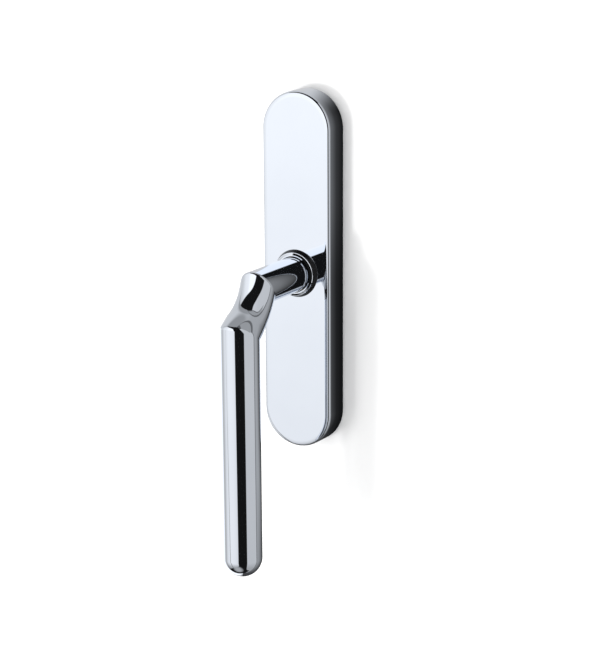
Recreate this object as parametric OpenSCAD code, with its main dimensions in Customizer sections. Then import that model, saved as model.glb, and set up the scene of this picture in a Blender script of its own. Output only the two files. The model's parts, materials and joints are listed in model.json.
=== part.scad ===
// Cremone-type casement window fastener: a lever on a long rounded plate turns a pinion,
// which drives two racks in opposite directions behind the plate.
// Frame: +Z up, +X to the right, -Y towards the room. The origin is on the mounting face
// (y = 0), on the axis that the lever turns about. Depths are measured from that face.

/* [Cover plate] */
// Full length of the cover where it meets the sash
cover_len = 166.8; // [150:0.2:190]
// Full width of the cover where it meets the sash
cover_w = 35.2; // [35:0.1:40]
// Depth of the cover's flat face above the mounting face
face_d = 12.8; // [12.8:0.1:16]
// How far the side wall leans in on each side
cover_draft = 0.35; // [0.1:0.05:0.6]
// Radius of the edge between side wall and face
cover_edge_r = 1.5; // [0.6:0.1:1.6]
// Thickness of the cover's sheet metal
cover_t = 1.2; // [0.8:0.1:1.2]

/* [Lever] */
// Radius of the round grip
grip_r = 8.9; // [8.5:0.1:9.5]
// Distance of the grip's axis from the mounting face
grip_d = 63.2; // [58:0.2:72]
// Height of the bend between arm and grip, below the turning axis
bend_drop = 17.5; // [16:0.1:19]
// Height of the grip's tip, below the turning axis
tip_drop = 129.9; // [105:0.1:150]
// Radius of the round bar that makes the arm
arm_bar_r = 8.5; // [7.5:0.1:8.5]
// Radius of the arm's curved centre line
arm_r = 33.6; // [30:0.1:36]
// Direction of the arm where it meets the grip, from straight down
arm_end = 57; // [54:1:58]
// Length of the straight piece between the arm's curve and the bend
arm_tail = 4.9; // [4.8:0.1:6]
// Radius of the neck beside the collar
neck_root_r = 8.1; // [7.6:0.05:8.2]
// Radius of the neck where it meets the arm
neck_end_r = 8.4; // [8:0.05:8.4]

/* [Collar] */
// Radius of the collar where it meets the face
collar_r = 11.1; // [10:0.05:12]
// Radius of the collar at its outer edge
collar_edge_r = 10.05; // [9.9:0.05:11]
// Height of the outer edge above the face
collar_edge_h = 2.5; // [1:0.05:4]
// Height of the collar above the face
collar_h = 3.2; // [2:0.05:5]

/* [Gear] */
// Number of teeth on the pinion
teeth = 14; // [14:2:14]
// Gear module
gear_module = 1.25; // [1.2:0.01:1.25]
// Pressure angle of the teeth
pressure_angle = 20; // [20:1:22]
// Backlash left at the pitch line of each tooth
backlash = 0.12; // [0.05:0.01:0.2]
// Distance of each drive pin from the turning axis when the window is shut
pin_z = 42; // [42:0.5:44]
// Radius of the drive pins
pin_r = 3; // [2.5:0.1:3.2]
// How far the drive pins stand out behind the mounting face
pin_out = 11; // [8:0.5:14]

/* [Fixing] */
// Distance of each fixing screw from the turning axis
screw_z = 62; // [58:0.5:64]
// Radius of the fixing screws
screw_r = 2.5; // [2:0.5:2.5]
// How far the fixing screws stand out behind the mounting face
screw_out = 20; // [12:1:40]

/* [Hidden] */
$fn = 64;

eps = 0.01;
chrome = [0.80, 0.82, 0.85];
steel = [0.60, 0.62, 0.64];
zinc = [0.72, 0.72, 0.68];
brass = [0.78, 0.62, 0.30];
polymer = [0.90, 0.90, 0.86];

// Outlines: the ends of every pill share the same centres
pill_z = (cover_len - cover_w) / 2;
cover_inner_w = cover_w / 2 - cover_t - 0.1;
chassis_w = cover_inner_w - 0.4;
plate_w = cover_inner_w - 0.2;

// Depth stack, from the mounting face to the room
plate_t = 1.2;
gear_d = [1.3, 4.7];
cam_d = [4.8, 7.2];
ring_d = [7.4, 8.1];
wall_d = [9.3, 11.3];
bush_top = 12.5;
washer_top = 12.85;
neck_d = 12.95;

// Shaft sizes
journal_r = 6;
running_fit = 0.05;
groove_r = 5.5;
square_w = 7;
square_fit = 0.03;
pilot_r = 3.4;
spindle_top = 38;
hole_in_cover = 9.2;

// Arm geometry, as (depth, height) in the lever's plane
bend_z = -bend_drop;
arm_end_d = grip_d - arm_tail * sin(arm_end);
arm_end_z = bend_z + arm_tail * cos(arm_end);
arm_centre_d = arm_end_d + arm_r * cos(arm_end);
arm_centre_z = arm_end_z + arm_r * sin(arm_end);
elbow_front_d = arm_centre_d - sqrt(pow(arm_r - arm_bar_r, 2) - pow(arm_centre_z - arm_bar_r, 2));
elbow_back_d = arm_centre_d - sqrt(pow(arm_r + arm_bar_r, 2) - pow(arm_centre_z + arm_bar_r, 2));
elbow_d = (elbow_front_d + elbow_back_d) / 2;
elbow_tilt = atan(2 * arm_bar_r / (elbow_front_d - elbow_back_d));
grub_d = 26;
// How far the arm's pieces reach into each other
lap = 1;

// Gear geometry
pitch_r = teeth * gear_module / 2;
base_r = pitch_r * cos(pressure_angle);
addendum = 0.8 * gear_module;
dedendum = 1.04 * gear_module;
tip_r = pitch_r + addendum;
root_r = pitch_r - dedendum;
tooth_pitch = PI * gear_module;
tooth_w = tooth_pitch / 2 - backlash;
rack_back = 12.6;
rack_bottom = -8;
rack_top = pin_z + 4.5;
travel = pitch_r * PI / 2;
rack_teeth = [-2 : 5];

// Inside of the chassis
bay_w = 13.65;
bay_z = 49;
rib_x = [5, 7.3];
rib_z = [13, 21];
cam_w = 12.4;
leaf_t = 0.5;
leaf_x = cam_w / 2 + 0.05;
leaf_z = 16;
clip_z = 30;
head_r = 4.6;
head_h = 2.6;
// Screws and drive pins are full size from just behind the mounting face outwards
stud_step = 0.5;
pin_neck_r = pin_r - 0.4;

function arc_points(centre, r, from, to, n) =
    [for (i = [0 : n]) let (a = from + (to - from) * i / n)
        [centre[0] + r * cos(a), centre[1] + r * sin(a)]];

function involute(a) = tan(a) * 180 / PI - a;

// Half the angle that a pinion tooth takes up at radius r
function half_tooth(r) =
    tooth_w / 2 / pitch_r * 180 / PI
    + involute(pressure_angle) - involute(acos(min(1, base_r / r)));

// Moves what is drawn in the XY plane to depth d, facing the room
module at_depth(d) {
    translate([0, -d, 0])
        rotate([90, 0, 0])
            children();
}

// A prism of a 2D outline between two depths
module slab(from, to) {
    at_depth(from)
        linear_extrude(to - from)
            children();
}

// A solid pill whose half section is the given profile of [half width, depth] points
module pill(profile, half_len) {
    mirrored = [for (i = [len(profile) - 1 : -1 : 0]) [-profile[i][0], profile[i][1]]];
    at_depth(0) {
        for (end = [-1, 1])
            translate([0, end * half_len, 0])
                rotate_extrude()
                    polygon(concat([[0, profile[0][1]]], profile, [[0, profile[len(profile) - 1][1]]]));
        rotate([90, 0, 0])
            translate([0, 0, -half_len])
                linear_extrude(2 * half_len)
                    polygon(concat(profile, mirrored));
    }
}

module pill_slab(half_w, from, to) {
    pill([[half_w, from], [half_w, to]], pill_z);
}

module both_ends() {
    for (turn = [0, 180])
        rotate([0, turn, 0])
            children();
}

module both_sides() {
    for (side = [0, 1])
        mirror([side, 0, 0])
            children();
}

module drill(x, z, r, from, to) {
    translate([x, 0, z])
        at_depth(from)
            cylinder(r = r, h = to - from);
}

// ---- housing ----

module cover() {
    edge_x = cover_w / 2 - cover_draft - cover_edge_r;
    outer = concat([[cover_w / 2, 0]],
                   arc_points([edge_x, face_d - cover_edge_r], cover_edge_r, 0, 90, 6));
    inner_top = face_d - cover_t;
    inner = [[cover_inner_w, -1], [cover_inner_w, inner_top - 1.2], [cover_inner_w - 1.2, inner_top]];
    color(chrome)
        difference() {
            pill(outer, pill_z);
            pill(inner, pill_z);
            drill(0, 0, hole_in_cover, 5, face_d + 1);
        }
}

module rib() {
    difference() {
        translate([rib_x[0], -wall_d[0] - eps, rib_z[0]])
            cube([rib_x[1] - rib_x[0], wall_d[0] + eps - gear_d[0] - 0.1, rib_z[1] - rib_z[0]]);
        translate([leaf_x - 0.05, -cam_d[1] - 0.05, rib_z[0] - 1])
            cube([leaf_t + 0.1, cam_d[1] - cam_d[0] + 0.1, leaf_z - rib_z[0] + 1.2]);
    }
}

module chassis() {
    color(zinc) {
        difference() {
            pill([[chassis_w, plate_t], [chassis_w, wall_d[1] - 1.7],
                  [chassis_w - 1.7, wall_d[1]]], pill_z);
            translate([-bay_w, -wall_d[0], -bay_z])
                cube([2 * bay_w, wall_d[0], 2 * bay_z]);
            drill(0, 0, journal_r + 1.5, 0, 20);
            both_ends() {
                drill(0, screw_z, screw_r + 0.15, 0, 20);
                translate([0, 0, screw_z])
                    at_depth(wall_d[1] - head_h - 0.15)
                        cylinder(r1 = screw_r, r2 = head_r + 0.4, h = head_h + 0.4);
                both_sides() {
                    drill(10, screw_z - 4, 1.3, 0, 8);
                    translate([chassis_w - 1.5, -6.1, clip_z - 4.1])
                        cube([4, 1.2, 8.2]);
                }
            }
        }
        both_ends()
            both_sides()
                rib();
    }
}

module rear_plate() {
    slot_half = pin_neck_r + 0.4;
    color(steel)
        difference() {
            pill_slab(plate_w, 0, plate_t);
            drill(0, 0, pilot_r + running_fit, -1, 2);
            both_ends() {
                for (z = [pin_z, pin_z - travel])
                    drill(0, z, slot_half, -1, 2);
                translate([-slot_half, -2, pin_z - travel])
                    cube([2 * slot_half, 3, travel]);
                drill(0, screw_z, screw_r + 0.15, -1, 2);
                both_sides()
                    translate([10, 0.01, screw_z - 4])
                        rotate([90, 0, 0])
                            cylinder(r1 = 2.8, r2 = 1.5, h = 1.3);
            }
        }
}

module plate_screws() {
    color(steel)
        both_ends()
            both_sides()
                translate([10, 0, screw_z - 4])
                    rotate([90, 0, 0])
                        difference() {
                            union() {
                                cylinder(r1 = 2.75, r2 = 1.45, h = 1.2);
                                cylinder(r = 1.25, h = 7);
                            }
                            for (turn = [0, 90])
                                rotate([0, 0, turn])
                                    translate([-1.4, -0.25, -1])
                                        cube([2.8, 0.5, 1.7]);
                        }
}

module fixing_screws() {
    head_d = wall_d[1] - head_h - 0.05;
    color(steel)
        both_ends()
            difference() {
                union() {
                    drill(0, screw_z, screw_r, -screw_out, -stud_step);
                    drill(0, screw_z, screw_r - 0.3, -stud_step, wall_d[1] - 1);
                    translate([0, 0, screw_z])
                        at_depth(head_d)
                            cylinder(r1 = screw_r - 0.3, r2 = head_r, h = head_h);
                }
                translate([0, 0, screw_z])
                    at_depth(wall_d[1] - 1.6)
                        cylinder(r = 1.8, h = 3, $fn = 6);
            }
}

module bearing_bush() {
    color(brass)
        difference() {
            union() {
                drill(0, 0, journal_r + 1.5, wall_d[0], wall_d[1]);
                drill(0, 0, 8.2, wall_d[1], bush_top);
            }
            drill(0, 0, journal_r + running_fit, 0, 20);
        }
}

module thrust_washer() {
    color(polymer)
        difference() {
            drill(0, 0, 8.1, bush_top, washer_top);
            drill(0, 0, journal_r + 0.3, 0, 20);
        }
}

module collar() {
    bore_r = hole_in_cover - 0.8;
    edge_d = face_d + collar_edge_h;
    top = face_d + collar_h;
    color(chrome)
        at_depth(0)
            rotate_extrude()
                polygon([[bore_r, wall_d[1]], [hole_in_cover - 0.1, wall_d[1]],
                         [hole_in_cover - 0.1, face_d], [collar_r, face_d],
                         [collar_edge_r, edge_d], [collar_edge_r - 0.2, edge_d + 0.05],
                         [9.2, top], [bore_r, top]]);
}

module cover_clips() {
    color(steel)
        both_ends()
            both_sides() {
                translate([chassis_w + 0.05, -8.5, clip_z - 4])
                    cube([0.3, 6, 8]);
                translate([chassis_w - 1.4, -6, clip_z - 4])
                    cube([1.5, 1, 8]);
            }
}

module guide_strip() {
    translate([rack_back + 0.05, -gear_d[1], -24])
        cube([bay_w - rack_back - 0.1, gear_d[1] - gear_d[0], bay_z + 24 - 0.2]);
}

module guide_strip_right() {
    color(polymer)
        guide_strip();
}

module guide_strip_left() {
    color(polymer)
        rotate([0, 180, 0])
            guide_strip();
}

module detent_leaf() {
    translate([leaf_x, -cam_d[1], -leaf_z])
        cube([leaf_t, cam_d[1] - cam_d[0], 2 * leaf_z]);
}

module detent_spring_right() {
    color(steel)
        detent_leaf();
}

module detent_spring_left() {
    color(steel)
        rotate([0, 180, 0])
            detent_leaf();
}

// ---- lever ----

// A block that fills everything on one side of a plane across the lever
module side_of(depth, height, turn, above) {
    translate([0, -depth, height])
        rotate([turn, 0, 0])
            translate([-100, -100, above ? 0 : -200])
                cube([200, 200, 200]);
}

// The two sides of the mitre between neck and arm
module elbow_side(arm) {
    side_of(elbow_d, 0, 180 - elbow_tilt, arm);
}

// The two sides of the mitre between arm and grip
module bend_side(arm) {
    side_of(grip_d, bend_z, -arm_end / 2, arm);
}

module lever() {
    grip_len = tip_drop - bend_drop - grip_r;
    color(chrome)
        difference() {
            union() {
                intersection() {
                    at_depth(neck_d)
                        cylinder(r1 = neck_root_r, r2 = neck_end_r, h = elbow_front_d + lap - neck_d);
                    elbow_side(false);
                }
                drill(0, 0, journal_r, cam_d[1] + 0.05, neck_d + eps);
                intersection() {
                    translate([0, -arm_centre_d, arm_centre_z])
                        rotate([-90, 0, 90])
                            rotate_extrude(angle = arm_end)
                                translate([arm_r, 0])
                                    circle(r = arm_bar_r);
                    elbow_side(true);
                }
                intersection() {
                    translate([0, -arm_end_d, arm_end_z])
                        rotate([180 - arm_end, 0, 0])
                            translate([0, 0, -lap])
                                cylinder(r = arm_bar_r - 0.03, h = 3 * arm_tail);
                    bend_side(true);
                }
                intersection() {
                    translate([0, -grip_d, bend_z - grip_len])
                        cylinder(r = grip_r, h = grip_len + 10);
                    bend_side(false);
                }
                translate([0, -grip_d, bend_z - grip_len])
                    sphere(r = grip_r);
            }
            translate([-square_w / 2 - square_fit, -spindle_top - 0.5, -square_w / 2 - square_fit])
                cube([square_w + 2 * square_fit, spindle_top, square_w + 2 * square_fit]);
            difference() {
                drill(0, 0, journal_r + 1, ring_d[0] - 0.05, ring_d[1] + 0.05);
                drill(0, 0, groove_r, 0, 20);
            }
            translate([0, -grub_d, -20])
                cylinder(r = 2.5, h = 20);
        }
}

module spindle() {
    color(steel)
        union() {
            translate([-square_w / 2, -spindle_top, -square_w / 2])
                cube([square_w, spindle_top - plate_t - 0.15, square_w]);
            drill(0, 0, pilot_r, 0.1, plate_t + 1);
        }
}

module grub_screw() {
    top = -square_w / 2 - 0.02;
    color(steel)
        translate([0, -grub_d, top - 4])
            difference() {
                cylinder(r = 2.45, h = 4);
                translate([0, 0, -1])
                    cylinder(r = 1.3, h = 3, $fn = 6);
            }
}

module square_hole(from, to) {
    w = square_w + 2 * square_fit;
    translate([-w / 2, -to, -w / 2])
        cube([w, to - from, w]);
}

module pinion() {
    flank = [for (i = [0 : 5]) let (r = base_r + (tip_r - base_r) * i / 5) [r, half_tooth(r)]];
    right = concat([[root_r, half_tooth(base_r)]], flank);
    tooth_points = concat([for (p = right) [p[0], -p[1]]],
                          [for (i = [len(right) - 1 : -1 : 0]) right[i]]);
    outline = [for (k = [0 : teeth - 1])
        for (p = tooth_points)
            let (a = p[1] + k * 360 / teeth) [p[0] * cos(a), p[0] * sin(a)]];
    color(steel)
        difference() {
            slab(gear_d[0], gear_d[1])
                polygon(outline);
            square_hole(0, 20);
        }
}

module detent_cam() {
    color(steel)
        difference() {
            intersection() {
                translate([-cam_w / 2, -cam_d[1], -cam_w / 2])
                    cube([cam_w, cam_d[1] - cam_d[0], cam_w]);
                drill(0, 0, cam_w * 0.62, 0, 20);
            }
            square_hole(0, 20);
        }
}

module spring_washer() {
    color(steel)
        at_depth(ring_d[1] + 0.05)
            rotate_extrude()
                polygon([[journal_r + 0.2, 0], [8.8, 0.55], [8.8, 1.05], [journal_r + 0.2, 0.5]]);
}

module retaining_ring() {
    color(steel)
        difference() {
            drill(0, 0, 8, ring_d[0], ring_d[1]);
            drill(0, 0, groove_r + 0.05, 0, 20);
            translate([-2.5, -20, 0])
                cube([5, 30, 20]);
        }
}

// ---- racks ----

module rack_outline() {
    tip_x = pitch_r - addendum;
    root_x = pitch_r + dedendum;
    half_tip = tooth_w / 2 - addendum * tan(pressure_angle);
    half_root = tooth_w / 2 + dedendum * tan(pressure_angle);
    arm_low = rack_top - 9;
    tooth = [[root_x, -half_root], [tip_x, -half_tip], [tip_x, half_tip], [root_x, half_root]];
    flanks = [for (k = rack_teeth)
        for (p = tooth) [p[0], p[1] + (k + 0.5) * tooth_pitch]];
    polygon(concat([[rack_back, rack_bottom], [root_x, rack_bottom]], flanks,
                   [[root_x, arm_low], [-pin_r - 1.5, arm_low],
                    [-pin_r - 1.5, rack_top], [rack_back, rack_top]]));
}

module rack() {
    difference() {
        slab(gear_d[0], gear_d[1])
            rack_outline();
        drill(0, pin_z, pin_neck_r + 0.02, 0, 20);
    }
}

module drive_pin() {
    drill(0, pin_z, pin_r, -pin_out, -stud_step);
    drill(0, pin_z, pin_neck_r, -stud_step - eps, gear_d[1]);
}

module rack_upper() {
    color(zinc)
        rack();
}

module rack_lower() {
    color(zinc)
        rotate([0, 180, 0])
            rack();
}

module drive_pin_upper() {
    color(steel)
        drive_pin();
}

module drive_pin_lower() {
    color(steel)
        rotate([0, 180, 0])
            drive_pin();
}

cover();
chassis();
rear_plate();
plate_screws();
fixing_screws();
bearing_bush();
thrust_washer();
collar();
cover_clips();
guide_strip_left();
guide_strip_right();
detent_spring_left();
detent_spring_right();
lever();
spindle();
grub_screw();
pinion();
detent_cam();
spring_washer();
retaining_ring();
rack_upper();
drive_pin_upper();
rack_lower();
drive_pin_lower();
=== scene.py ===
import json
import math

import bpy
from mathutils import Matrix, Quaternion, Vector
from mathutils.bvhtree import BVHTree


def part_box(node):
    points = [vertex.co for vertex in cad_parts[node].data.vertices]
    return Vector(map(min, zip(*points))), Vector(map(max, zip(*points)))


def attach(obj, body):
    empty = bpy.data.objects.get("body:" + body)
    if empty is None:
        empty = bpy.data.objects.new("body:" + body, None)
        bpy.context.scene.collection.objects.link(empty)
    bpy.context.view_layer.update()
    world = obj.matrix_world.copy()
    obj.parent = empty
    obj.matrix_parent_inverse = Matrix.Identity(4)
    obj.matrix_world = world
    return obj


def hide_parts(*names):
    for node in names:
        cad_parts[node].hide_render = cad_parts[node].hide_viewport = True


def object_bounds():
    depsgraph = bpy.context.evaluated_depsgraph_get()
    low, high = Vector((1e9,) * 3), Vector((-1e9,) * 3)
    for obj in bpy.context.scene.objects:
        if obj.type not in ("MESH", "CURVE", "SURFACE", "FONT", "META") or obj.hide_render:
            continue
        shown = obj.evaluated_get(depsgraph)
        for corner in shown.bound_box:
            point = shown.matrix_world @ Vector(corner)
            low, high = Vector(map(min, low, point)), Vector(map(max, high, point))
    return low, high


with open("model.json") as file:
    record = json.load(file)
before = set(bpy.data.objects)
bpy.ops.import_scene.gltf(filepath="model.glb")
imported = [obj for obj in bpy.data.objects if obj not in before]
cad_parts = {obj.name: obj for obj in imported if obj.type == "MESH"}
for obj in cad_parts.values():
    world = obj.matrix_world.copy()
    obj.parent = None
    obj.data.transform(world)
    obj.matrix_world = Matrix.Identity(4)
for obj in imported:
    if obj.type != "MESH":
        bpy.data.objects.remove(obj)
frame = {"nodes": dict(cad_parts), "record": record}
cad_low, cad_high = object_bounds()

MM = 0.001

# ---- Sizes, taken from the frame where it holds them, in millimetres ----
cover_low, cover_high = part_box("cover")
lever_low, lever_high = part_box("lever")
collar_low, collar_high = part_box("collar")

COVER_HALF_W = cover_high.x / MM
PILL_Z = cover_high.z / MM - COVER_HALF_W
FACE_D = -cover_low.y / MM
COVER_DRAFT = 0.35
COVER_FOOT = 0.2
# The crowned edge from the face to the side: each arc's last angle off the face, and its radius
COVER_EDGE = ((11, 9.2), (40, 0.85), (87.3, 1.8))
COVER_T = 1.2
COVER_HOLE_R = 9.2
# Room between the shell's inside and the draft of its side, and the chamfer in its inner corner
INNER_ROOM = 0.1
INNER_CHAMFER = 1.2

COLLAR_R = collar_high.x / MM
COLLAR_TOP_D = -collar_low.y / MM
# Radius and depth of the collar's outer edge, and of the rim round its flat front
COLLAR_EDGE = (10.05, FACE_D + 2.5)
COLLAR_RIM_R = 8.95
# The fine bright edge: its width, and how far it rises over that width
COLLAR_LAND = (0.22, 0.06)
# The spigot in the cover's hole: its end's depth, its play and its wall, and the bevel of its bore
SPIGOT_D = 11.3
SPIGOT_PLAY = 0.1
SPIGOT_T = 0.7
BORE_BEVEL = 0.15

# Lever, with each depth measured from the mounting face and each height from the turning axis
GRIP_R = lever_high.x / MM
GRIP_D = -lever_low.y / MM - GRIP_R
TIP_Z = lever_low.z / MM
BEND_Z = -17.5
# The arm's curve, its last heading from straight down, and the straight tail after it
ARM_R = 33.6
ARM_END = math.radians(57)
ARM_TAIL = 4.9
NECK_D = 12.95
NECK_R = 8.1
# How far each mitre's rounding reaches from its corner, on the outer and the inner side
ELBOW_ROUND = (1.0, 0.3)
BEND_ROUND = (1.1, 0.15)

# Journal behind the neck with the retaining ring's groove, and the holes cut into the lever
JOURNAL_R = 6.0
JOURNAL_END_D = 7.25
GROOVE_R = 5.5
GROOVE_D = (7.35, 8.15)
SOCKET_W = 7.06
SOCKET_TOP_D = 38.5
GRUB_R = 2.5
GRUB_D = 26.0
GRUB_DEEP = 20.0

# Points round a circle, along the long straight sides, and along an edge's arc
AROUND = 192
ALONG = 48
ARC_STEPS = 12
ARM_STEPS = 48
DOME_STEPS = 40
ROD_SIDES = 64
# A face nearer to the skin than this is part of it, and a corner's normal is looked up this share
# of the way to the face's middle
NEAR = 0.02
NUDGE = 0.02

# Half the width and height of the wall, the floor and the board, in metres
STAGE_REACH = 3.0


# ---- Mesh helpers ----
class Skin:
    """Faces that carry an exact normal at each corner, so that mirror finishes show no facets."""

    def __init__(self):
        self.points, self.faces, self.normals = [], [], []

    def ring(self, points):
        first = len(self.points)
        self.points += [Vector(p) for p in points]
        return list(range(first, len(self.points)))

    def face(self, corners, normals):
        kept = [i for i, c in enumerate(corners) if c not in corners[:i]]
        corners = [corners[i] for i in kept]
        normals = [Vector(normals[i]).normalized() for i in kept]
        if len(corners) < 3:
            return
        a, b, c = (self.points[corners[i]] for i in (0, 1, 2))
        facing = (b - a).cross(c - b)
        if facing.dot(sum(normals, Vector())) < 0:
            corners, normals = corners[::-1], normals[::-1]
        self.faces.append(corners)
        self.normals.append(normals)

    def strip(self, ring_a, ring_b, normals_a, normals_b):
        """Closed band of faces between two rings. A ring of one point is a pole."""
        count = max(len(ring_a), len(ring_b))
        for i in range(count):
            j = (i + 1) % count
            corners = [ring_a[i % len(ring_a)], ring_a[j % len(ring_a)],
                       ring_b[j % len(ring_b)], ring_b[i % len(ring_b)]]
            self.face(corners, [normals_a[i], normals_a[j], normals_b[j], normals_b[i]])

    def make(self, name):
        mesh = bpy.data.meshes.new(name)
        mesh.from_pydata([p * MM for p in self.points], [], self.faces)
        finish_normals(mesh, [n for face in self.normals for n in face])
        return mesh


def finish_normals(mesh, corner_normals):
    mesh.polygons.foreach_set("use_smooth", [True] * len(mesh.polygons))
    mesh.normals_split_custom_set([tuple(n) for n in corner_normals])
    mesh.update()


def add_object(name, mesh):
    obj = bpy.data.objects.new(name, mesh)
    bpy.context.scene.collection.objects.link(obj)
    return obj


def circle_outline():
    """Directions round a circle, as (cos, sin, height of the centre)."""
    turn = [math.tau * i / AROUND for i in range(AROUND)]
    return [(math.cos(a), math.sin(a), 0.0) for a in turn]


def pill_outline():
    """The same for the cover's outline: two half circles and two straight sides."""
    half = AROUND // 2
    steps = [math.pi * i / half for i in range(half + 1)]
    slide = [PILL_Z * (1 - 2 * i / ALONG) for i in range(1, ALONG)]
    top = [(math.cos(a), math.sin(a), PILL_Z) for a in steps]
    left = [(-1.0, 0.0, z) for z in slide]
    bottom = [(-math.cos(a), -math.sin(a), -PILL_Z) for a in steps]
    right = [(1.0, 0.0, -z) for z in slide]
    return top + left + bottom + right


def straight(points):
    """Profile runs with sharp corners: one run per side, with the normal on the left of its way."""
    runs = []
    for (r0, d0), (r1, d1) in zip(points, points[1:]):
        length = math.hypot(r1 - r0, d1 - d0)
        normal = ((d0 - d1) / length, (r1 - r0) / length)
        runs.append([(r0, d0, *normal), (r1, d1, *normal)])
    return runs


def turned_over(runs):
    """The same profile with its normals on the other side."""
    return [[(r, d, -nr, -nd) for r, d, nr, nd in run] for run in runs]


def arc(centre_r, centre_d, radius, start, end):
    """A round run of a profile, from one angle to the other, in degrees."""
    run = []
    for i in range(ARC_STEPS + 1):
        a = math.radians(start + (end - start) * i / ARC_STEPS)
        run.append((centre_r + radius * math.cos(a), centre_d + radius * math.sin(a),
                    math.cos(a), math.sin(a)))
    return run


def sweep(skin, outline, runs):
    """Carries a profile of (half width, depth, normal) runs round an outline."""
    rings = {}
    for run in runs:
        previous = None
        for r, d, nr, nd in run:
            key = (round(r, 5), round(d, 5))
            if key not in rings:
                spots = outline if r > 1e-6 else outline[:1]
                rings[key] = skin.ring([(r * c, -d, z + r * s) for c, s, z in spots])
            normals = [(nr * c, -nd, nr * s) for c, s, z in outline]
            if previous:
                skin.strip(previous[0], rings[key], previous[1], normals)
            previous = (rings[key], normals)
    return rings


# ---- Cover ----
def cover_edge(side_x):
    """The arcs of the crowned edge, from the face to the side."""
    starts = (0,) + tuple(angle for angle, _ in COVER_EDGE)
    turns = [(math.radians(a), math.radians(b), radius)
             for a, (b, radius) in zip(starts, COVER_EDGE)]
    w = side_x - sum(radius * (math.sin(b) - math.sin(a)) for a, b, radius in turns)
    d = FACE_D
    runs = []
    for a, b, radius in turns:
        runs.append(arc(w - radius * math.sin(a), d - radius * math.cos(a), radius,
                        90 - math.degrees(a), 90 - math.degrees(b)))
        w += radius * (math.sin(b) - math.sin(a))
        d -= radius * (math.cos(a) - math.cos(b))
    return runs


def cover_mesh():
    """Pressed shell with a flat face, a crowned edge and a slightly bowed side."""
    side_top = cover_edge(0)[-1][-1][1]
    bow = [(side_top - COVER_FOOT) * i / ARC_STEPS for i in range(ARC_STEPS + 1)]
    full = FACE_D - COVER_FOOT
    side = [(COVER_HALF_W - COVER_DRAFT * (up / full) ** 2, COVER_FOOT + up, 1.0,
             2 * COVER_DRAFT * up / full ** 2) for up in bow]
    edge_runs = cover_edge(side[-1][0])
    rim_w = edge_runs[0][0][0]
    inner_w = COVER_HALF_W - COVER_T - INNER_ROOM
    inner_top = FACE_D - COVER_T
    corner_w, corner_d = inner_w - INNER_CHAMFER, inner_top - INNER_CHAMFER
    skin = Skin()
    rings = sweep(skin, pill_outline(), [
        [(inner_w, 0.0, 0, -1), (COVER_HALF_W - COVER_FOOT, 0.0, 0, -1)],
        arc(COVER_HALF_W - COVER_FOOT, COVER_FOOT, COVER_FOOT, -90, 0),
        side,
        *edge_runs,
        [(inner_w, 0.0, -1, 0), (inner_w, corner_d, -1, 0)],
        [(inner_w, corner_d, -1, -1), (corner_w, inner_top, -1, -1)],
    ])
    # The flat face and its underside run in to the round hole for the lever
    for edge_w, depth, facing in ((rim_w, FACE_D, -1), (corner_w, inner_top, 1)):
        edge = rings[(round(edge_w, 5), round(depth, 5))]
        hole = []
        for i in edge:
            out = Vector((skin.points[i].x, 0, skin.points[i].z)).normalized() * COVER_HOLE_R
            hole.append((out.x, -depth, out.z))
        rings[facing] = skin.ring(hole)
        flat = [(0, facing, 0)] * len(edge)
        skin.strip(edge, rings[facing], flat, flat)
    inward = [(-skin.points[i].x, 0, -skin.points[i].z) for i in rings[-1]]
    skin.strip(rings[-1], rings[1], inward, inward)
    return skin.make("cover_shell")


# ---- Collar ----
def collar_mesh():
    """Turned ring with a fine bright edge, a sloping front and a flat rim, on a flared side that is
    painted black as shade.
    """
    outer_r = COVER_HOLE_R - SPIGOT_PLAY
    bore_r = outer_r - SPIGOT_T
    edge_r, edge_d = COLLAR_EDGE
    land, rise = COLLAR_LAND
    skin = Skin()
    runs = straight([(COLLAR_R, FACE_D), (outer_r, FACE_D), (outer_r, SPIGOT_D), (bore_r, SPIGOT_D),
                     (bore_r, COLLAR_TOP_D - BORE_BEVEL), (bore_r + BORE_BEVEL, COLLAR_TOP_D),
                     (COLLAR_RIM_R, COLLAR_TOP_D), (edge_r - land, edge_d + rise), (edge_r, edge_d),
                     (COLLAR_R, FACE_D)])
    sweep(skin, circle_outline(), turned_over(runs))
    return skin.make("collar_ring")


# ---- Lever ----
def in_plane(depth, height, across=0.0):
    """A vector from its parts in the lever's plane and its part across it."""
    return Vector((across, -depth, height))


def heading(angle):
    """Direction along the lever, measured from straight down towards the room."""
    return in_plane(math.sin(angle), -math.cos(angle))


def outward(angle):
    """Direction of the lever's front, square to its heading."""
    return in_plane(math.cos(angle), math.sin(angle))


ACROSS = Vector((1, 0, 0))
BEND = in_plane(GRIP_D, BEND_Z)
ARM_CENTRE = BEND - heading(ARM_END) * ARM_TAIL + outward(ARM_END) * ARM_R


def meeting_depth(height):
    """Depth at which the neck's line at this height meets the arm's front or back."""
    reach = ARM_R - height
    return -ARM_CENTRE.y - math.sqrt(reach ** 2 - (ARM_CENTRE.z - height) ** 2)


ELBOW_FRONT, ELBOW_BACK = meeting_depth(NECK_R), meeting_depth(-NECK_R)


def elbow_corner(phi):
    """Where the neck's line at phi meets the arm, with phi 0 at the top."""
    depth = (ELBOW_FRONT + ELBOW_BACK + (ELBOW_FRONT - ELBOW_BACK) * math.cos(phi)) / 2
    return in_plane(depth, NECK_R * math.cos(phi), NECK_R * math.sin(phi))


def bend_corner(phi):
    ring = outward(ARM_END) * math.cos(phi) + ACROSS * math.sin(phi)
    return BEND + (ring + heading(ARM_END) * math.cos(phi) * math.tan(ARM_END / 2)) * GRIP_R


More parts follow.
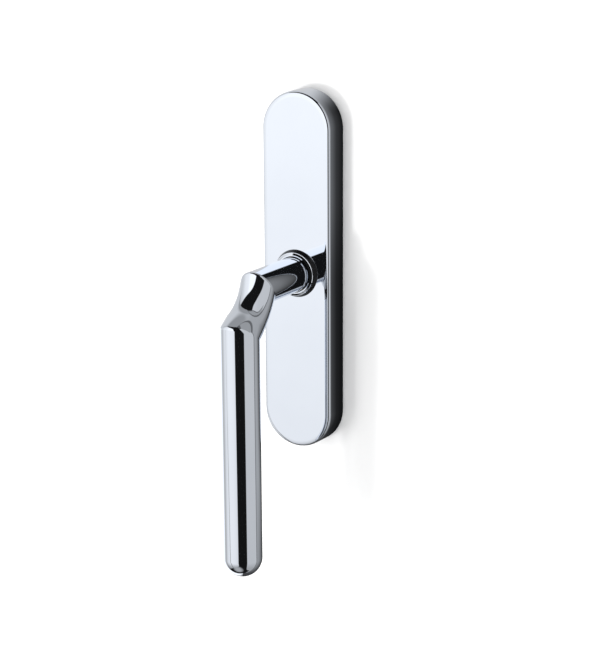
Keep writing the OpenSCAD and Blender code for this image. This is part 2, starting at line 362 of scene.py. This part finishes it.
def arm_point(phi, share):
    """A point on the curved arm, from the elbow at share 0 to the straight tail at share 1.

    The section turns from the mitre's outline to a circle in the first half, and grows from the
    neck's size to the grip's, mostly near the end."""
    start = elbow_corner(phi)
    spoke = start - ARM_CENTRE
    first = math.atan2(-spoke.z, spoke.y)
    angle = first + (ARM_END - first) * share
    radius = NECK_R + (GRIP_R - NECK_R) * share ** 3
    half_way = min(2 * share, 1.0)
    blend = half_way ** 2 * (3 - 2 * half_way)
    start_front = ARM_R - math.hypot(spoke.y, spoke.z)
    front = start_front + (radius * math.cos(phi) - start_front) * blend
    side = start.x + (radius * math.sin(phi) - start.x) * blend
    return ARM_CENTRE - outward(angle) * (ARM_R - front) + ACROSS * side


def rounding(start, before, end, after):
    """Points and directions on a curve that turns a corner."""
    turn = before.angle(after)
    chord = (end - start).length
    handle = 2 / 3 * chord * math.tan(turn / 4) / math.sin(turn / 2)
    a, b, c, d = start, start + before * handle, end - after * handle, end
    line = []
    for i in range(ARC_STEPS + 1):
        t, u = i / ARC_STEPS, 1 - i / ARC_STEPS
        point = a * u ** 3 + b * (3 * u * u * t) + c * (3 * u * t * t) + d * t ** 3
        along = (b - a) * (u * u) + (c - b) * (2 * u * t) + (d - c) * (t * t)
        line.append((point, along))
    return line


def lever_line(phi):
    """One line of points and directions along the lever, from the shoulder to the tip."""
    outer = (1 + math.cos(phi)) / 2
    straight_out = in_plane(1, 0)
    tiny = 1e-4

    def arm_spot(share):
        along = arm_point(phi, share + tiny) - arm_point(phi, share - tiny)
        return arm_point(phi, share), along.normalized()

    corner = elbow_corner(phi)
    reach = ELBOW_ROUND[1] + (ELBOW_ROUND[0] - ELBOW_ROUND[1]) * outer
    left = reach / (arm_point(phi, 1.0) - corner).length
    end, after = arm_spot(left)
    line = [(in_plane(NECK_D, corner.z, corner.x), straight_out)]
    line += rounding(corner - straight_out * reach, straight_out, end, after)
    line += [arm_spot(left + (1 - left) * i / ARM_STEPS) for i in range(1, ARM_STEPS + 1)]
    corner = bend_corner(phi)
    reach = BEND_ROUND[1] + (BEND_ROUND[0] - BEND_ROUND[1]) * outer
    before, after = heading(ARM_END), heading(0)
    line += rounding(corner - before * reach, before, corner + after * reach, after)
    side = outward(0) * math.cos(phi) + ACROSS * math.sin(phi)
    dome = in_plane(GRIP_D, TIP_Z + GRIP_R)
    for i in range(DOME_STEPS):
        turn = math.pi / 2 * i / DOME_STEPS
        line.append((dome + (side * math.cos(turn) + after * math.sin(turn)) * GRIP_R,
                     after * math.cos(turn) - side * math.sin(turn)))
    return line


def lever_bar():
    """The whole lever in one skin: journal, neck, elbow, arm, bend, grip and tip."""
    skin = Skin()
    runs = straight([(0, JOURNAL_END_D), (JOURNAL_R, JOURNAL_END_D), (JOURNAL_R, GROOVE_D[0]),
                     (GROOVE_R, GROOVE_D[0]), (GROOVE_R, GROOVE_D[1]), (JOURNAL_R, GROOVE_D[1]),
                     (JOURNAL_R, NECK_D), (NECK_R, NECK_D)])
    rings = sweep(skin, circle_outline(), turned_over(runs))
    step = 1e-3
    turn = [math.pi / 2 - math.tau * i / AROUND for i in range(AROUND)]
    lines = [lever_line(phi) for phi in turn]
    beside = [(lever_line(phi - step), lever_line(phi + step)) for phi in turn]
    last_ring = rings[(round(NECK_R, 5), round(NECK_D, 5))]
    last_normals = None
    for k in range(len(lines[0])):
        normals = []
        for line, (less, more) in zip(lines, beside):
            normal = line[k][1].cross(more[k][0] - less[k][0])
            normals.append(normal.normalized())
        if last_normals:
            ring = skin.ring([line[k][0] for line in lines])
            skin.strip(last_ring, ring, last_normals, normals)
            last_ring = ring
        last_normals = normals
    pole = skin.ring([in_plane(GRIP_D, TIP_Z)])
    skin.strip(last_ring, pole, last_normals, [heading(0)] * AROUND)
    return skin


def block(low, high):
    """A plain box to cut with."""
    xs, ys, zs = zip(low, high)
    points = [(x * MM, y * MM, z * MM) for x in xs for y in ys for z in zs]
    faces = [(0, 1, 3, 2), (4, 6, 7, 5), (0, 4, 5, 1), (2, 3, 7, 6), (0, 2, 6, 4), (1, 5, 7, 3)]
    mesh = bpy.data.meshes.new("cutter")
    mesh.from_pydata(points, [], faces)
    return mesh


def rod(centre_y, low_z, high_z, radius):
    """An upright cylinder to cut with, in the lever's plane."""
    around = [math.tau * i / ROD_SIDES for i in range(ROD_SIDES)]
    points = [(radius * math.cos(a) * MM, (centre_y + radius * math.sin(a)) * MM, z * MM)
              for z in (low_z, high_z) for a in around]
    walls = [(i, (i + 1) % ROD_SIDES, ROD_SIDES + (i + 1) % ROD_SIDES, ROD_SIDES + i)
             for i in range(ROD_SIDES)]
    ends = [tuple(range(ROD_SIDES))[::-1], tuple(range(ROD_SIDES, 2 * ROD_SIDES))]
    mesh = bpy.data.meshes.new("cutter")
    mesh.from_pydata(points, [], walls + ends)
    return mesh


def cut_away(mesh, other):
    """What is left of one closed mesh when another is cut away from it."""
    base, tool = add_object("base", mesh), add_object("tool", other)
    modifier = base.modifiers.new("cut", "BOOLEAN")
    modifier.object, modifier.operation, modifier.solver = tool, "DIFFERENCE", "EXACT"
    depsgraph = bpy.context.evaluated_depsgraph_get()
    result = bpy.data.meshes.new_from_object(base.evaluated_get(depsgraph))
    for obj in (base, tool):
        bpy.data.objects.remove(obj)
    return result


class Surface:
    """Looks up a skin's exact normal at any point on it."""

    def __init__(self, skin):
        self.corners, self.normals = [], []
        for face, normals in zip(skin.faces, skin.normals):
            for i in range(1, len(face) - 1):
                self.corners.append((face[0], face[i], face[i + 1]))
                self.normals.append((normals[0], normals[i], normals[i + 1]))
        self.points = skin.points
        self.tree = BVHTree.FromPolygons(skin.points, self.corners)

    def distance(self, point):
        return self.tree.find_nearest(point)[3]

    def normal(self, point):
        spot, _, index, _ = self.tree.find_nearest(point)
        a, b, c = (self.points[i] for i in self.corners[index])
        whole = (b - a).cross(c - a)
        share = [(b - spot).cross(c - spot).dot(whole), (c - spot).cross(a - spot).dot(whole),
                 (a - spot).cross(b - spot).dot(whole)]
        total = sum((n * max(s, 0) for n, s in zip(self.normals[index], share)), Vector())
        return total.normalized()


def lever_mesh():
    """The lever's skin with the square socket and the grub screw's hole cut into it."""
    skin = lever_bar()
    half = SOCKET_W / 2
    mesh = cut_away(skin.make("bar"), block((-half, -SOCKET_TOP_D, -half), (half, 0, half)))
    mesh = cut_away(mesh, rod(-GRUB_D, -GRUB_DEEP, 0, GRUB_R))
    surface = Surface(skin)
    normals = []
    for face in mesh.polygons:
        centre = face.center / MM
        on_skin = surface.distance(centre) < NEAR
        for i in face.loop_indices:
            point = mesh.vertices[mesh.loops[i].vertex_index].co / MM
            inside = point.lerp(centre, NUDGE)
            normals.append(surface.normal(inside) if on_skin else face.normal.copy())
    finish_normals(mesh, normals)
    mesh.name = "lever_bar"
    return mesh


# ---- Materials ----
class Shader:
    """A node material with one Principled shader."""

    def __init__(self, name, **settings):
        self.material = bpy.data.materials.new(name)
        self.material.use_nodes = True
        self.nodes = self.material.node_tree.nodes
        self.links = self.material.node_tree.links
        self.main = self.nodes["Principled BSDF"]
        for key, value in settings.items():
            self.main.inputs[key.replace("_", " ")].default_value = value
        self.place = self.nodes.new("ShaderNodeTexCoord").outputs["Object"]

    def stretch(self, x=1.0, y=1.0, z=1.0):
        mapping = self.nodes.new("ShaderNodeMapping")
        mapping.inputs["Scale"].default_value = (x, y, z)
        self.links.new(self.place, mapping.inputs["Vector"])
        return mapping.outputs["Vector"]

    def noise(self, vector, scale, detail=3.0, roughness=0.5):
        node = self.nodes.new("ShaderNodeTexNoise")
        node.inputs["Scale"].default_value = scale
        node.inputs["Detail"].default_value = detail
        node.inputs["Roughness"].default_value = roughness
        self.links.new(vector, node.inputs["Vector"])
        return node.outputs["Fac"]

    def spread(self, value, low, high, start=0.3, stop=0.7):
        """Maps a noise value onto the range low to high."""
        node = self.nodes.new("ShaderNodeMapRange")
        for key, number in (("From Min", start), ("From Max", stop), ("To Min", low), ("To Max", high)):
            node.inputs[key].default_value = number
        self.links.new(value, node.inputs["Value"])
        return node.outputs["Result"]

    def colours(self, value, dark, light):
        ramp = self.nodes.new("ShaderNodeValToRGB")
        ramp.color_ramp.elements[0].color = (*dark, 1)
        ramp.color_ramp.elements[1].color = (*light, 1)
        ramp.color_ramp.elements[0].position, ramp.color_ramp.elements[1].position = 0.3, 0.7
        self.links.new(value, ramp.inputs["Fac"])
        self.links.new(ramp.outputs["Color"], self.main.inputs["Base Color"])

    def set(self, key, value):
        self.links.new(value, self.main.inputs[key])

    def bump(self, height, strength, distance):
        node = self.nodes.new("ShaderNodeBump")
        node.inputs["Strength"].default_value = strength
        node.inputs["Distance"].default_value = distance
        self.links.new(height, node.inputs["Height"])
        self.links.new(node.outputs["Normal"], self.main.inputs["Normal"])


def chrome():
    """Polished chrome plate: a mirror with the faintest haze and waviness."""
    made = Shader("chrome_plate", Metallic=1.0)
    haze = made.noise(made.stretch(), 90, 4, 0.6)
    made.set("Roughness", made.spread(haze, 0.018, 0.04))
    made.colours(made.noise(made.stretch(), 35, 2), (0.81, 0.855, 0.93), (0.83, 0.875, 0.95))
    made.bump(made.noise(made.stretch(), 260, 2), 0.04, 0.00001)
    return made.material


def die_cast():
    """Grey zinc alloy as cast, with a fine grain and faint flow marks."""
    made = Shader("die_cast_zinc", Metallic=0.85)
    made.colours(made.noise(made.stretch(1, 1, 0.4), 150, 5), (0.30, 0.31, 0.32), (0.46, 0.47, 0.47))
    made.set("Roughness", made.spread(made.noise(made.stretch(), 700, 4), 0.42, 0.62))
    made.bump(made.noise(made.stretch(), 2200, 4), 0.35, 0.0001)
    return made.material


def plated_steel():
    """Zinc-plated steel with rolling marks along the plate."""
    made = Shader("plated_steel", Metallic=1.0)
    made.colours(made.noise(made.stretch(1, 1, 0.25), 220, 4), (0.52, 0.54, 0.56), (0.68, 0.70, 0.71))
    rolled = made.noise(made.stretch(1, 1, 0.02), 1800, 3)
    made.set("Roughness", made.spread(rolled, 0.24, 0.40))
    made.bump(rolled, 0.12, 0.00005)
    return made.material


def spring_steel():
    """Hardened steel, dark and slightly oiled."""
    made = Shader("spring_steel", Metallic=1.0, Coat_Weight=0.25, Coat_Roughness=0.15)
    made.colours(made.noise(made.stretch(), 400, 3), (0.10, 0.11, 0.13), (0.20, 0.21, 0.23))
    made.set("Roughness", made.spread(made.noise(made.stretch(), 1500, 3), 0.25, 0.38))
    return made.material


def gear_steel():
    """Machined steel with tool marks and a film of grease."""
    made = Shader("gear_steel", Metallic=1.0, Coat_Weight=0.4, Coat_Roughness=0.2)
    made.colours(made.noise(made.stretch(), 300, 3), (0.32, 0.31, 0.29), (0.48, 0.47, 0.44))
    marks = made.noise(made.stretch(1, 8, 1), 900, 3)
    made.set("Roughness", made.spread(marks, 0.28, 0.45))
    made.bump(marks, 0.2, 0.00005)
    return made.material


def brass():
    """Turned brass with fine rings from the lathe."""
    made = Shader("turned_brass", Metallic=1.0)
    made.colours(made.noise(made.stretch(), 250, 3), (0.62, 0.44, 0.17), (0.78, 0.58, 0.26))
    rings = made.noise(made.stretch(0.1, 30, 0.1), 400, 2)
    made.set("Roughness", made.spread(rings, 0.2, 0.34))
    made.bump(rings, 0.15, 0.00003)
    return made.material


def painted_shade_black():
    """Painted shade on the collar's flared side: black, satin, with a fine grain."""
    made = Shader("painted_shade_black", Specular_IOR_Level=0.2)
    made.colours(made.noise(made.stretch(), 300, 3), (0.004, 0.004, 0.005), (0.009, 0.009, 0.010))
    made.set("Roughness", made.spread(made.noise(made.stretch(), 1200, 3), 0.22, 0.34))
    made.bump(made.noise(made.stretch(), 2400, 2), 0.1, 0.00003)
    return made.material


def polymer():
    """Natural acetal: off-white, waxy, slightly see-through."""
    made = Shader("natural_acetal", Subsurface_Weight=0.2, Subsurface_Scale=0.001)
    made.colours(made.noise(made.stretch(), 120, 2), (0.78, 0.76, 0.70), (0.86, 0.85, 0.80))
    made.set("Roughness", made.spread(made.noise(made.stretch(), 900, 3), 0.38, 0.5))
    made.bump(made.noise(made.stretch(), 1600, 2), 0.1, 0.00005)
    return made.material


# ---- Stage: wall, floor, reflected surroundings, a glowing sheet of the wall's painted light and shade, light, camera ----
class Graph:
    """Short hands for building a node tree of plain arithmetic."""

    def __init__(self, tree):
        self.nodes, self.links = tree.nodes, tree.links

    def feed(self, socket, value):
        if isinstance(value, (int, float, tuple)):
            socket.default_value = value
        else:
            self.links.new(value, socket)

    def math(self, operation, *values):
        node = self.nodes.new("ShaderNodeMath")
        node.operation = operation
        for socket, value in zip(node.inputs, values):
            self.feed(socket, value)
        return node.outputs[0]

    def step(self, value, start, stop, low=0.0, high=1.0):
        """Eases from low to high as value goes from start to stop."""
        node = self.nodes.new("ShaderNodeMapRange")
        node.interpolation_type = "SMOOTHSTEP"
        for key, number in (("From Min", start), ("From Max", stop), ("To Min", low), ("To Max", high)):
            self.feed(node.inputs[key], number)
        self.feed(node.inputs["Value"], value)
        return node.outputs["Result"]

    def ramp(self, value, *stops):
        """Straight lines between (value, level) stops."""
        node = self.nodes.new("ShaderNodeMapRange")
        start, stop = stops[0][0], stops[-1][0]
        for key, number in (("From Min", start), ("From Max", stop)):
            self.feed(node.inputs[key], number)
        self.feed(node.inputs["Value"], value)
        curve = self.nodes.new("ShaderNodeValToRGB")
        marks = curve.color_ramp.elements
        while len(marks) < len(stops):
            marks.new(0.5)
        for mark, (at, level) in zip(marks, stops):
            mark.position = (at - start) / (stop - start)
            mark.color = (level, level, level, 1)
        self.feed(curve.inputs["Fac"], node.outputs["Result"])
        return curve.outputs["Color"]

    def panel(self, across, up, centre, half, power, soft):
        """A lamp's soft-edged outline: 1 inside a rounded box of directions, 0 outside."""
        parts = []
        for value, middle, reach in zip((across, up), centre, half):
            offset = self.math("DIVIDE", self.math("SUBTRACT", value, middle), reach)
            parts.append(self.math("POWER", self.math("ABSOLUTE", offset), power))
        return self.step(self.math("ADD", *parts), 1 + soft, 1 - soft)

    def split(self, vector):
        node = self.nodes.new("ShaderNodeSeparateXYZ")
        self.links.new(vector, node.inputs[0])
        return node.outputs

    def front_only(self, shader):
        """Shows a shader on the front of a sheet, and nothing on its back."""
        clear = self.nodes.new("ShaderNodeBsdfTransparent")
        shown = self.nodes.new("ShaderNodeMixShader")
        facing = self.nodes.new("ShaderNodeNewGeometry").outputs["Backfacing"]
        for socket, value in zip(shown.inputs, (facing, shader, clear.outputs[0])):
            self.links.new(value, socket)
        self.links.new(shown.outputs[0], self.nodes["Material Output"].inputs["Surface"])

    def mix(self, factor, below, above):
        """The colour below where factor is 0, and the one above where it is 1."""
        node = self.nodes.new("ShaderNodeMix")
        node.data_type = "RGBA"
        self.feed(node.inputs[0], factor)
        self.feed(node.inputs[6], below)
        self.feed(node.inputs[7], above)
        return node.outputs[2]


def grey(level):
    return (level, level, level, 1.0)


def left_panel(graph, azimuth, height):
    """The large panel on the left, as (outline, brightness).

    It is lit from its near side, leans outward at its foot and has a seam there."""
    upper = graph.ramp(azimuth, (-110, 0.66), (-85, 0.70), (-65, 0.92), (-45, 0.98), (-33, 1.14))
    lower = graph.ramp(azimuth, (-118, 1.1), (-97, 0.53), (-77, 0.50), (-68, 0.78), (-42, 0.92),
                       (-15, 0.90), (0, 0.82))
    foot = graph.step(height, -20, -50, 1.0, 0.4)
    lower = graph.mix(foot, grey(0.0), lower)
    shade = graph.mix(graph.step(height, -24, 2), lower, upper)
    seam_at = graph.step(height, -28, -14, -41, -53)
    off_seam = graph.math("ABSOLUTE", graph.math("SUBTRACT", azimuth, seam_at))
    seam_depth = graph.step(height, -10, -26, 0.0, 0.85)
    seam = graph.math("MULTIPLY", graph.step(off_seam, 2.4, 0.9), seam_depth)
    shade = graph.mix(seam, shade, grey(0.0))
    below = graph.math("MAXIMUM", graph.math("SUBTRACT", -8.0, height), 0.0)
    leaning = graph.math("SUBTRACT", azimuth, graph.math("MULTIPLY", below, 0.4))
    return graph.panel(leaning, height, (-67, 0), (68, 48), 3.7, 0.08), shade


def right_panel(graph, azimuth, height, y):
    """The large panel on the right, as (outline, brightness, dark gap along its top).

    It stands on the wall, which shows above and behind it."""
    corner = graph.step(height, 30, 64, 0.28, 0.06)
    past = graph.math("SUBTRACT", y, corner)
    high = graph.step(height, 14, 22)
    behind = graph.math("MULTIPLY", graph.step(past, -0.03, -0.01), high)
    outline = graph.panel(azimuth, height, (108, 0), (51, 64), 6, 0.12)
    outline = graph.math("MULTIPLY", outline, graph.math("SUBTRACT", 1.0, behind))
    gap = graph.math("MULTIPLY", graph.step(past, -0.04, -0.02), graph.step(past, 0.02, 0.0))
    gap = graph.math("MULTIPLY", gap, high)
    shade = graph.ramp(height, (-52, 0.40), (-18, 0.60), (40, 0.61), (55, 0.66))
    return outline, shade, gap


def low_lamp(graph, place):
    """A soft round lamp low in front."""
    toward = graph.nodes.new("ShaderNodeVectorMath")
    toward.operation = "DOT_PRODUCT"
    graph.links.new(place, toward.inputs[0])
    toward.inputs[1].default_value = (-0.092, -0.522, -0.848)
    outer, inner = (math.cos(math.radians(a)) for a in (26, 6))
    return graph.step(toward.outputs["Value"], outer, inner)


def surroundings():
    """The studio as polished metal sees it: two large white panels with dark room between them,
    a lamp low in front and a window behind on the left. Azimuth is 0 in front and grows to the
    right, and both angles are in degrees."""
    world = bpy.data.worlds.new("studio")
    bpy.context.scene.world = world
    world.use_nodes = True
    graph = Graph(world.node_tree)
    background = world.node_tree.nodes["Background"]
    place = graph.nodes.new("ShaderNodeTexCoord").outputs["Generated"]
    x, y, z = graph.split(place)
    azimuth = graph.math("MULTIPLY", graph.math("ARCTAN2", x, graph.math("MULTIPLY", y, -1.0)),
                         180 / math.pi)
    height = graph.math("MULTIPLY", graph.math("ARCSINE", z), 180 / math.pi)

    left, left_shade = left_panel(graph, azimuth, height)
    right, right_shade, gap = right_panel(graph, azimuth, height, y)
    window = graph.panel(azimuth, height, (-128, -20), (24, 26), 4, 0.3)
    wall = graph.step(y, 0.04, 0.09)
    behind = graph.step(y, 0.5, 0.8)
    seen = grey(0.0075)
    for outline, shade in ((low_lamp(graph, place), grey(0.42)), (wall, grey(0.36)),
                           (gap, grey(0.12)), (right, right_shade), (left, left_shade),
                           (window, grey(1.2)), (behind, grey(0.75))):
        seen = graph.mix(outline, seen, shade)

    # Matt surfaces get an even light, stronger behind the wall, and the camera sees white
    rays = graph.nodes.new("ShaderNodeLightPath")
    room = graph.step(y, -0.2, 0.2, 0.5, 0.95)
    plain = graph.mix(rays.outputs["Is Diffuse Ray"], grey(1.05), room)
    plain = graph.mix(rays.outputs["Is Glossy Ray"], plain, seen)
    graph.links.new(plain, background.inputs["Color"])


def face_front(mesh):
    """Turns a one-sided sheet's front towards the room."""
    if mesh.polygons[0].normal.y > 0:
        mesh.flip_normals()


def wall_with_hole():
    """The wall the plate sits on. It has a hole behind the plate, and is see-through from behind."""
    inset = COVER_HALF_W - 0.4
    inner = [(inset * c * MM, 0, (z + inset * s) * MM) for c, s, z in pill_outline()]
    outer = []
    for x, _, z in inner:
        scale = STAGE_REACH / max(abs(x), abs(z))
        outer.append((x * scale, 0, z * scale))
    count = len(inner)
    faces = [(i, (i + 1) % count, count + (i + 1) % count, count + i) for i in range(count)]
    mesh = bpy.data.meshes.new("wall")
    mesh.from_pydata(inner + outer, [], faces)
    face_front(mesh)
    wall = add_object("wall", mesh)
    wall.visible_glossy = False
    material = bpy.data.materials.new("wall_paint")
    material.use_nodes = True
    paint = material.node_tree.nodes["Principled BSDF"]
    paint.inputs["Base Color"].default_value = grey(0.9)
    paint.inputs["Roughness"].default_value = 0.9
    paint.inputs["Specular IOR Level"].default_value = 0.0
    Graph(material.node_tree).front_only(paint.outputs[0])
    mesh.materials.append(material)


def painted_wall_shading(graph, x, z):
    """Painted light and shade of the wall at a place in millimetres, by its distance from the plate's
    middle.
    """
    beyond = graph.math("MAXIMUM", graph.math("SUBTRACT", graph.math("ABSOLUTE", z), PILL_Z), 0.0)
    away = graph.math("SQRT", graph.math("ADD", graph.math("MULTIPLY", x, x),
                                         graph.math("MULTIPLY", beyond, beyond)))
    # Painted shadow of the plate and the lever on the wall: darkest beside the plate, darker still lower
    # down
    beside = graph.ramp(away, (17.6, 0.006), (21.8, 0.045), (25, 0.15), (44, 0.35), (63, 0.42))
    lower = graph.ramp(away, (17.6, 0.005), (21.8, 0.018), (24, 0.05), (34, 0.19), (63, 0.40))
    shaded = graph.mix(graph.step(z, 40, -10), beside, lower)
    # Painted light and shade on the left: lit white far out and painted shade near the plate, both only
    # lower down; grey above it and a darker painted grey high up
    pale = graph.mix(graph.step(x, -60, -90), grey(0.66), grey(1.2))
    pale = graph.mix(graph.step(x, -58, -40), pale, grey(0.06))
    pale = graph.mix(graph.step(z, 0, -25), grey(0.66), pale)
    pale = graph.mix(graph.step(z, 110, 320), pale, grey(0.33))
    # Towards the right the painted shadow, elsewhere the painted light and shade of the left
    side = graph.step(graph.math("DIVIDE", x, away), 0.0, 0.9)
    colour = graph.mix(side, pale, shaded)
    # Painted shade: a dark strip at the far right, in the corner by the right panel
    return graph.mix(graph.step(x, 106, 113), colour, grey(0.15))


def painted_wall_reflection():
    """What polished metal sees of the wall, as a glowing sheet of painted light and shade: painted light
    on the left, and on the right a grey painted shade, darkest beside the plate and at its far edge."""
    left, right, gap = -1.0, 0.128, 0.0003
    points = [(left, gap, -STAGE_REACH), (right, gap, -STAGE_REACH),
              (right, gap, STAGE_REACH), (left, gap, STAGE_REACH)]
    mesh = bpy.data.meshes.new("painted_reflection_sheet")
    mesh.from_pydata(points, [], [(0, 1, 2, 3)])
    face_front(mesh)
    painted_reflection_sheet = add_object("painted_reflection_sheet", mesh)
    for flag in ("visible_camera", "visible_diffuse", "visible_shadow", "visible_transmission"):
        setattr(painted_reflection_sheet, flag, False)
    material = bpy.data.materials.new("painted_wall_glow")
    material.use_nodes = True
    graph = Graph(material.node_tree)
    graph.nodes.remove(graph.nodes["Principled BSDF"])
    scaled = graph.nodes.new("ShaderNodeVectorMath")
    scaled.operation = "SCALE"
    scaled.inputs["Scale"].default_value = 1 / MM
    graph.links.new(graph.nodes.new("ShaderNodeTexCoord").outputs["Object"], scaled.inputs[0])
    x, _, z = graph.split(scaled.outputs[0])
    # The sheet glows with the wall's painted light and shade, though it is no lamp
    glow = graph.nodes.new("ShaderNodeEmission")
    graph.links.new(painted_wall_shading(graph, x, z), glow.inputs["Color"])
    graph.front_only(glow.outputs[0])
    mesh.materials.append(material)


def floor():
    """A pale floor well below the fastener."""
    level = cad_low.z - 0.25
    corners = [(x * STAGE_REACH, y * STAGE_REACH, level) for x, y in ((-1, -1), (1, -1), (1, 1), (-1, 1))]
    mesh = bpy.data.meshes.new("floor")
    mesh.from_pydata(corners, [], [(0, 1, 2, 3)])
    plane = add_object("floor", mesh)
    plane.visible_glossy = False
    plane.visible_shadow = False
    material = bpy.data.materials.new("floor_paint")
    material.use_nodes = True
    paint = material.node_tree.nodes["Principled BSDF"]
    paint.inputs["Base Color"].default_value = grey(0.85)
    paint.inputs["Roughness"].default_value = 0.9
    paint.inputs["Emission Color"].default_value = grey(1.0)
    paint.inputs["Emission Strength"].default_value = 0.35
    mesh.materials.append(material)


def lights():
    """A broad soft light from the left, and two small ones from a little below it that throw the
    lever's faint shadows on the wall."""
    for name, strength, spread, travel in (("soft", 1.75, 48, (0.40, 1.0, 0.0)),
                                           ("key", 0.55, 4, (0.42, 1.0, 0.22)),
                                           ("fill", 0.20, 6, (0.56, 1.0, 0.22))):
        lamp = bpy.data.lights.new(name, "SUN")
        lamp.energy = strength
        lamp.angle = math.radians(spread)
        obj = bpy.data.objects.new(name, lamp)
        bpy.context.scene.collection.objects.link(obj)
        obj.visible_glossy = False
        obj.rotation_mode = "QUATERNION"
        obj.rotation_quaternion = Vector(travel).to_track_quat("-Z", "Y")


def camera():
    """To the right of the fastener and a little above it, at portrait focal length."""
    azimuth, elevation, roll = map(math.radians, (29.14, 12.27, -0.35))
    distance = 0.8
    aim = Vector((-0.0054, 0.0, -0.0328))
    lens = bpy.data.cameras.new("camera")
    lens.sensor_width = 36
    lens.lens = 92.46
    lens.clip_start = 0.01
    obj = bpy.data.objects.new("camera", lens)
    bpy.context.scene.collection.objects.link(obj)
    obj.location = distance * Vector((math.sin(azimuth) * math.cos(elevation),
                                      -math.cos(azimuth) * math.cos(elevation), math.sin(elevation)))
    obj.rotation_mode = "QUATERNION"
    obj.rotation_quaternion = ((aim - obj.location).to_track_quat("-Z", "Y")
                               @ Quaternion((0, 0, 1), roll))
    bpy.context.scene.camera = obj


# ---- Build ----
def dress(obj, material):
    obj.data.materials.clear()
    obj.data.materials.append(material)


camera()
surroundings()
wall_with_hole()
painted_wall_reflection()
floor()
lights()
bpy.context.scene.view_settings.view_transform = "Standard"

plate = chrome()
for make, node, body, record_slot in ((cover_mesh, "cover", "housing", "chrome"),
                                      (collar_mesh, "collar", "housing", "chrome"),
                                      (lever_mesh, "lever", "handle", "chrome_lever")):
    mesh = make()
    piece = add_object(mesh.name, mesh)
    dress(piece, plate)
    if node == "collar":
        # The collar's flared side is painted black as shade
        mesh.materials.append(painted_shade_black())
        # The last band that the profile's sweep makes is the flared side, which takes the painted shade
        for face in mesh.polygons[-AROUND:]:
            face.material_index = 1
    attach(piece, body)
    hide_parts(node)

FINISHES = {"die_cast_zinc": die_cast(), "plated_steel": plated_steel(), "spring_steel": spring_steel(),
            "gear_steel": gear_steel(), "bush_brass": brass(), "bearing_polymer": polymer()}
for row in frame["record"]["subparts"]:
    if row["material_slot"] in FINISHES:
        dress(frame["nodes"][row["node"]], FINISHES[row["material_slot"]])
